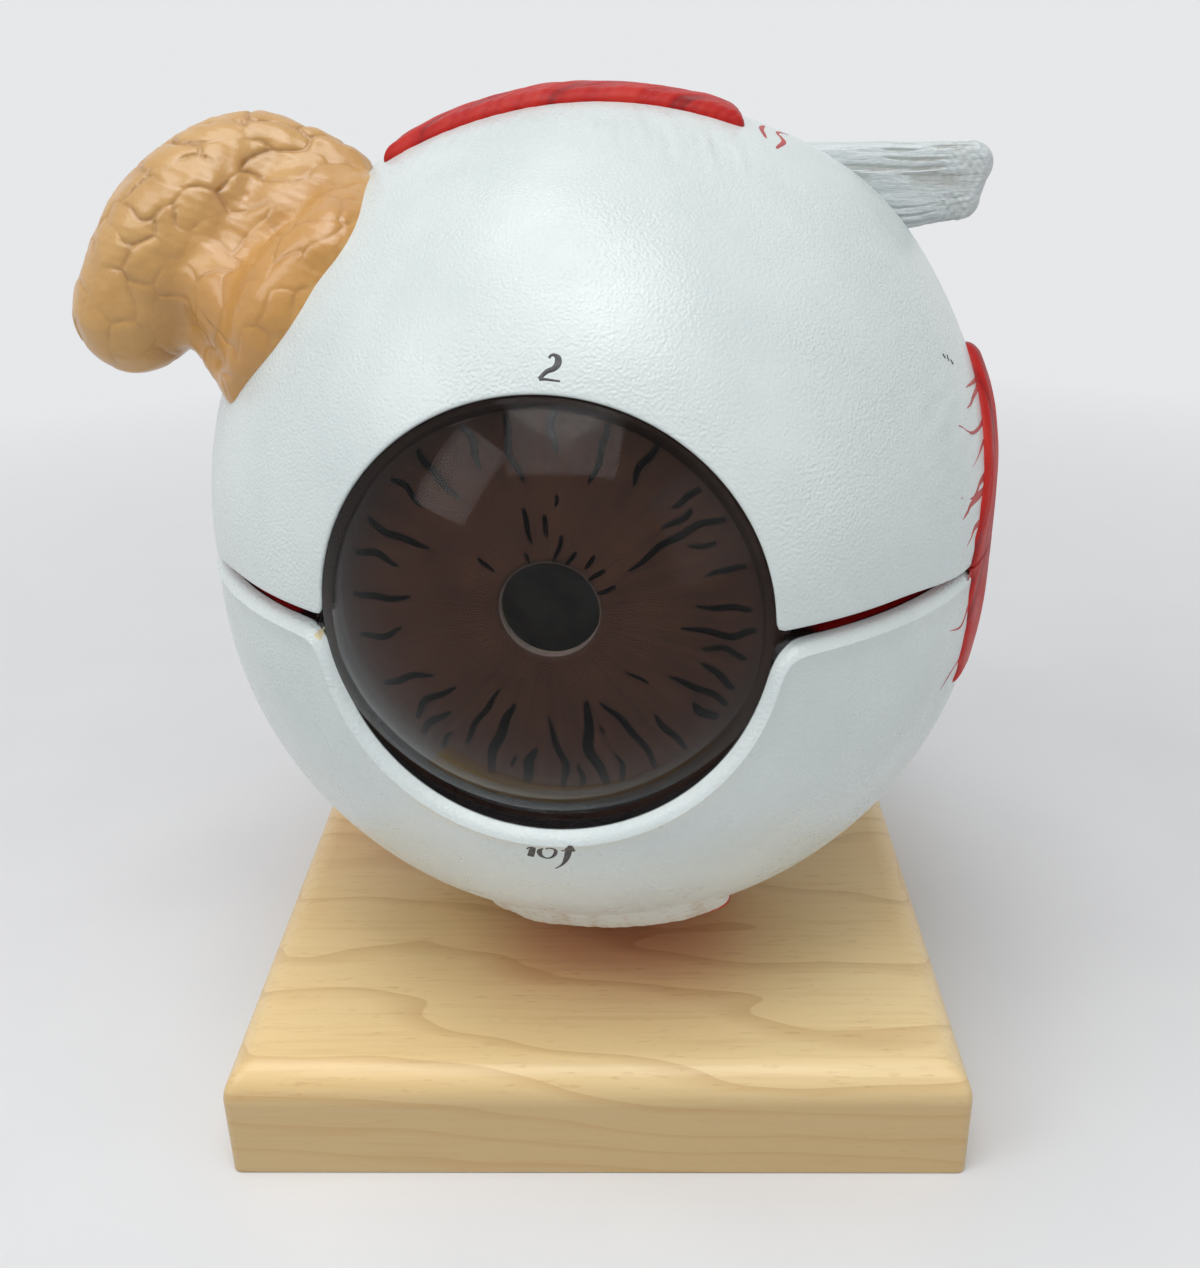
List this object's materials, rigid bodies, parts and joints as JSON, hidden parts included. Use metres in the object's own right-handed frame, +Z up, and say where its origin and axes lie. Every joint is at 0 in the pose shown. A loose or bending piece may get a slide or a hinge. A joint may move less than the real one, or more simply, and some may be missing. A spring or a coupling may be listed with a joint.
{
  "type": "eye anatomy model",
  "caption": "Enlarged take-apart model of a right eye: halved shell and coat, clear cornea, iris, lens and vitreous body, on a post and wooden board.",
  "frame": {"origin": "middle of the board's underside", "axes": "+Z up; -Y is the front, where the eye looks; +X is the side of the eye that would be towards the nose"},
  "size_m": [0.1407, 0.1412, 0.156],
  "materials": {
    "maple": "clear satin varnish",
    "steel": "brushed",
    "washer_plastic": "smooth",
    "bush_brass": "turned",
    "sclera_white": "fine orange peel, semi-gloss",
    "choroid_coat": "dark red outside, orange retina inside",
    "ciliary_brown": "pleated, satin",
    "iris_brown": "painted strokes under a satin coat",
    "muscle_red": "painted, semi-gloss",
    "tendon_white": "painted, semi-gloss",
    "gland_ochre": "painted, glossy",
    "nerve_yellow": "painted, semi-gloss",
    "cornea_clear": "clear, polished",
    "lens_clear": "clear, polished",
    "vitreous_clear": "clear, moulded"
  },
  "bodies": {
    "stand": {"wood_board": "maple", "board_screw": "steel", "support_post": "steel"},
    "washer": {"thrust_washer": "washer_plastic"},
    "eye_lower": {"sclera_lower": "sclera_white", "post_bush": "bush_brass", "locating_pegs": "steel", "choroid_lower": "choroid_coat", "ciliary_body_lower": "ciliary_brown", "inferior_rectus": "muscle_red", "inferior_oblique": "muscle_red", "medial_rectus_lower": "muscle_red", "lateral_rectus_lower": "muscle_red", "optic_nerve": "nerve_yellow"},
    "vitreous": {"vitreous_body": "vitreous_clear", "lens": "lens_clear"},
    "iris": {"iris_disc": "iris_brown"},
    "cornea": {"cornea": "cornea_clear"},
    "choroid_upper": {"choroid_upper": "choroid_coat", "ciliary_body_upper": "ciliary_brown"},
    "sclera_upper": {"sclera_upper": "sclera_white", "superior_rectus": "muscle_red", "superior_oblique_tendon": "tendon_white", "medial_rectus_upper": "muscle_red", "lateral_rectus_upper": "muscle_red", "lacrimal_gland": "gland_ochre"}
  },
  "joints": [
    {"name": "eye_swivel", "type": "hinge", "parent": "stand", "child": "washer", "pos_m": [0.0014, 0, 0.0225], "axis": [0, 0, 1], "continuous": true},
    {"name": "eye_lift", "type": "slide", "parent": "washer", "child": "eye_lower", "axis": [0, 0, 1], "range_m": [0, 0.014]},
    {"name": "vitreous_lift", "type": "slide", "parent": "eye_lower", "child": "vitreous", "axis": [0, 0, 1], "range_m": [0, 0.06]},
    {"name": "iris_lift", "type": "slide", "parent": "vitreous", "child": "iris", "axis": [0, 0, 1], "range_m": [0, 0.04]},
    {"name": "cornea_lift", "type": "slide", "parent": "iris", "child": "cornea", "axis": [0, 0, 1], "range_m": [0, 0.04]},
    {"name": "choroid_lift", "type": "slide", "parent": "cornea", "child": "choroid_upper", "axis": [0, 0, 1], "range_m": [0, 0.06]},
    {"name": "sclera_lift", "type": "slide", "parent": "choroid_upper", "child": "sclera_upper", "axis": [0, 0, 1], "range_m": [0, 0.075]}
  ]
}
